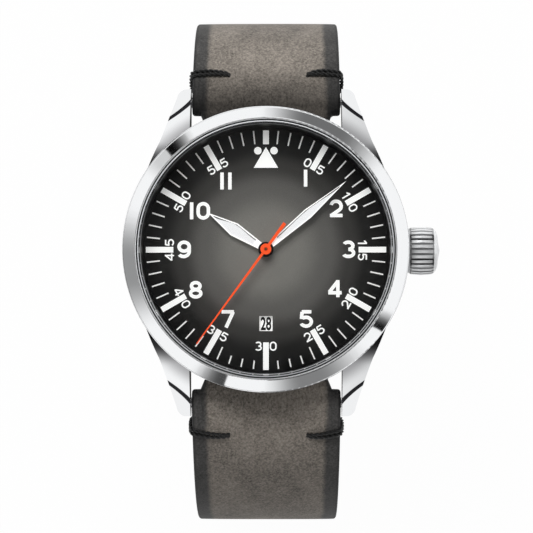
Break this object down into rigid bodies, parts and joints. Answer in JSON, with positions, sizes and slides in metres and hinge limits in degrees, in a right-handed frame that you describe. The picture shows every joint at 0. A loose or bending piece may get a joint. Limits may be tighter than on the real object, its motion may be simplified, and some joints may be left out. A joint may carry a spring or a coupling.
{
  "type": "pilot watch",
  "caption": "Steel pilot watch with an automatic movement, a smoked grey dial with plain numbers, a fluted crown and a grey leather strap with a pin buckle.",
  "frame": {"origin": "centre of the flat outer face of the display back", "axes": "+Z out of the dial along the hands' axis, +Y towards 12 o'clock, +X towards the crown at 3 o'clock"},
  "size_m": [0.0456, 0.0786, 0.072],
  "materials": {
    "polished_steel": "polished stainless steel",
    "turned_steel": "finely turned stainless steel",
    "buckle_steel": "satin stainless steel with polished edges",
    "bar_steel": "plain steel",
    "sapphire": "clear polished crystal",
    "gasket": "black rubber",
    "flange": "matte black ring",
    "dial_paint": "smoked grey, darker towards the edge",
    "lume": "matte white luminous paint",
    "white_print": "matte white print",
    "date_white": "matte white",
    "hand_steel": "polished steel",
    "orange_paint": "orange red lacquer",
    "plated_brass": "nickel plated, fine matte grain",
    "movement_holder": "plain matte metal",
    "wheel_brass": "gilt brass",
    "works_steel": "fine steel",
    "rotor_steel": "striped plated steel",
    "strap_leather": "taupe grey nubuck with dark burnished edges",
    "lining_leather": "dark smooth calf lining",
    "keeper_leather": "dark burnished leather",
    "waxed_cord": "black waxed cord"
  },
  "bodies": {
    "case": {"case_middle": "polished_steel", "bezel": "polished_steel", "crystal": "sapphire", "crystal_gasket": "gasket", "case_back": "turned_steel", "back_crystal": "sapphire", "back_crystal_gasket": "gasket", "case_back_gasket": "gasket", "flange_ring": "flange", "dial": "dial_paint", "hour_markers": "lume", "minute_marks": "white_print", "numerals": "lume", "movement_ring": "movement_holder", "main_plate": "plated_brass", "train_bridge": "plated_brass", "balance_cock": "plated_brass", "automatic_bridge": "plated_brass", "hairspring": "works_steel", "rotor_bearing": "works_steel", "bridge_screws": "works_steel", "movement_clamps": "works_steel", "clamp_screws": "works_steel", "crown_tube": "turned_steel", "spring_bars": "bar_steel"},
    "date_ring": {"date_disc": "date_white"},
    "fourth": {"fourth_wheel": "wheel_brass", "seconds_hand": "orange_paint"},
    "centre": {"centre_wheel": "wheel_brass", "cannon_pinion": "works_steel", "minute_hand": "hand_steel", "minute_hand_inlay": "lume"},
    "hour": {"hour_wheel": "wheel_brass", "hour_hand": "hand_steel", "hour_hand_inlay": "lume"},
    "barrel": {"barrel": "wheel_brass"},
    "third": {"third_wheel": "wheel_brass"},
    "minute_works": {"minute_wheel": "wheel_brass"},
    "escape": {"escape_wheel": "works_steel"},
    "fork": {"pallet_fork": "works_steel"},
    "balance": {"balance_wheel": "wheel_brass"},
    "rotor": {"rotor": "rotor_steel", "bearing_balls": "works_steel"},
    "pull_out": {"setting_lever": "works_steel"},
    "winding": {"crown": "polished_steel", "crown_gasket": "gasket", "stem": "works_steel", "winding_pinion": "works_steel", "sliding_pinion": "works_steel"},
    "strap_12": {"strap_face_12": "strap_leather", "strap_lining_12": "lining_leather", "cords_12": "waxed_cord", "fixed_keeper": "keeper_leather", "buckle_bar": "bar_steel"},
    "strap_6": {"strap_face_6": "strap_leather", "strap_lining_6": "lining_leather", "cords_6": "waxed_cord"},
    "free_keeper": {"free_keeper": "keeper_leather"},
    "buckle": {"buckle_frame": "buckle_steel"},
    "tongue": {"buckle_tongue": "buckle_steel"}
  },
  "joints": [
    {"name": "seconds_turn", "type": "hinge", "parent": "case", "child": "fourth", "pos_m": [0, 0, 0.0055], "axis": [0, 0, -1], "continuous": true},
    {"name": "minute_turn", "type": "hinge", "parent": "case", "child": "centre", "pos_m": [0, 0, 0.0055], "axis": [0, 0, -1], "continuous": true},
    {"name": "hour_turn", "type": "hinge", "parent": "case", "child": "hour", "pos_m": [0, 0, 0.0055], "axis": [0, 0, -1], "continuous": true},
    {"name": "third_wheel_turn", "type": "hinge", "parent": "case", "child": "third", "pos_m": [-0.00148, 0.00406, 0.0055], "axis": [0, 0, -1], "continuous": true},
    {"name": "barrel_turn", "type": "hinge", "parent": "case", "child": "barrel", "pos_m": [-0.00507, -0.00185, 0.0055], "axis": [0, 0, -1], "continuous": true},
    {"name": "minute_wheel_turn", "type": "hinge", "parent": "case", "child": "minute_works", "pos_m": [-0.00099, -0.00271, 0.0073], "axis": [0, 0, -1], "continuous": true},
    {"name": "escape_wheel_turn", "type": "hinge", "parent": "case", "child": "escape", "pos_m": [0.00393, 0.00143, 0.0055], "axis": [0, 0, -1], "continuous": true},
    {"name": "fork_rock", "type": "hinge", "parent": "case", "child": "fork", "pos_m": [0.00538, -0.00108, 0.0051], "axis": [0, 0, -1], "range_deg": [-2, 4]},
    {"name": "balance_swing", "type": "hinge", "parent": "case", "child": "balance", "pos_m": [0.00631, -0.00456, 0.0047], "axis": [0, 0, -1], "range_deg": [-270, 270], "stiffness_Nm_per_rad": 0.0000004},
    {"name": "date_turn", "type": "hinge", "parent": "case", "child": "date_ring", "pos_m": [0, 0, 0.0077], "axis": [0, 0, -1], "continuous": true},
    {"name": "rotor_turn", "type": "hinge", "parent": "case", "child": "rotor", "pos_m": [0, 0, 0.0029], "axis": [0, 0, 1], "continuous": true},
    {"name": "crown_pull", "type": "slide", "parent": "case", "child": "pull_out", "axis": [1, 0, 0], "range_m": [0, 0.0012]},
    {"name": "crown_turn", "type": "hinge", "parent": "pull_out", "child": "winding", "pos_m": [0.022, 0, 0.0058], "axis": [1, 0, 0], "continuous": true},
    {"name": "strap_12_fold", "type": "hinge", "parent": "case", "child": "strap_12", "pos_m": [0, 0.0219, 0.0029], "axis": [1, 0, 0], "range_deg": [0, 45]},
    {"name": "strap_6_fold", "type": "hinge", "parent": "case", "child": "strap_6", "pos_m": [0, -0.0219, 0.0029], "axis": [-1, 0, 0], "range_deg": [0, 45]},
    {"name": "keeper_slide", "type": "slide", "parent": "strap_12", "child": "free_keeper", "axis": [0, -0.1256, -0.9921], "range_m": [-0.007, 0.007]},
    {"name": "buckle_fold", "type": "hinge", "parent": "strap_12", "child": "buckle", "pos_m": [0, 0.01893, -0.058], "axis": [1, 0, 0], "range_deg": [-75, 55]},
    {"name": "tongue_fold", "type": "hinge", "parent": "buckle", "child": "tongue", "pos_m": [0, 0.01893, -0.058], "axis": [1, 0, 0], "range_deg": [0, 50]}
  ],
  "couplings": [
    {"joint": "minute_turn", "follows": "seconds_turn", "ratio": 0.016667},
    {"joint": "hour_turn", "follows": "seconds_turn", "ratio": 0.0013889},
    {"joint": "third_wheel_turn", "follows": "seconds_turn", "ratio": -0.13333},
    {"joint": "barrel_turn", "follows": "seconds_turn", "ratio": -0.0020833},
    {"joint": "minute_wheel_turn", "follows": "seconds_turn", "ratio": -0.0055556},
    {"joint": "escape_wheel_turn", "follows": "seconds_turn", "ratio": -10}
  ]
}
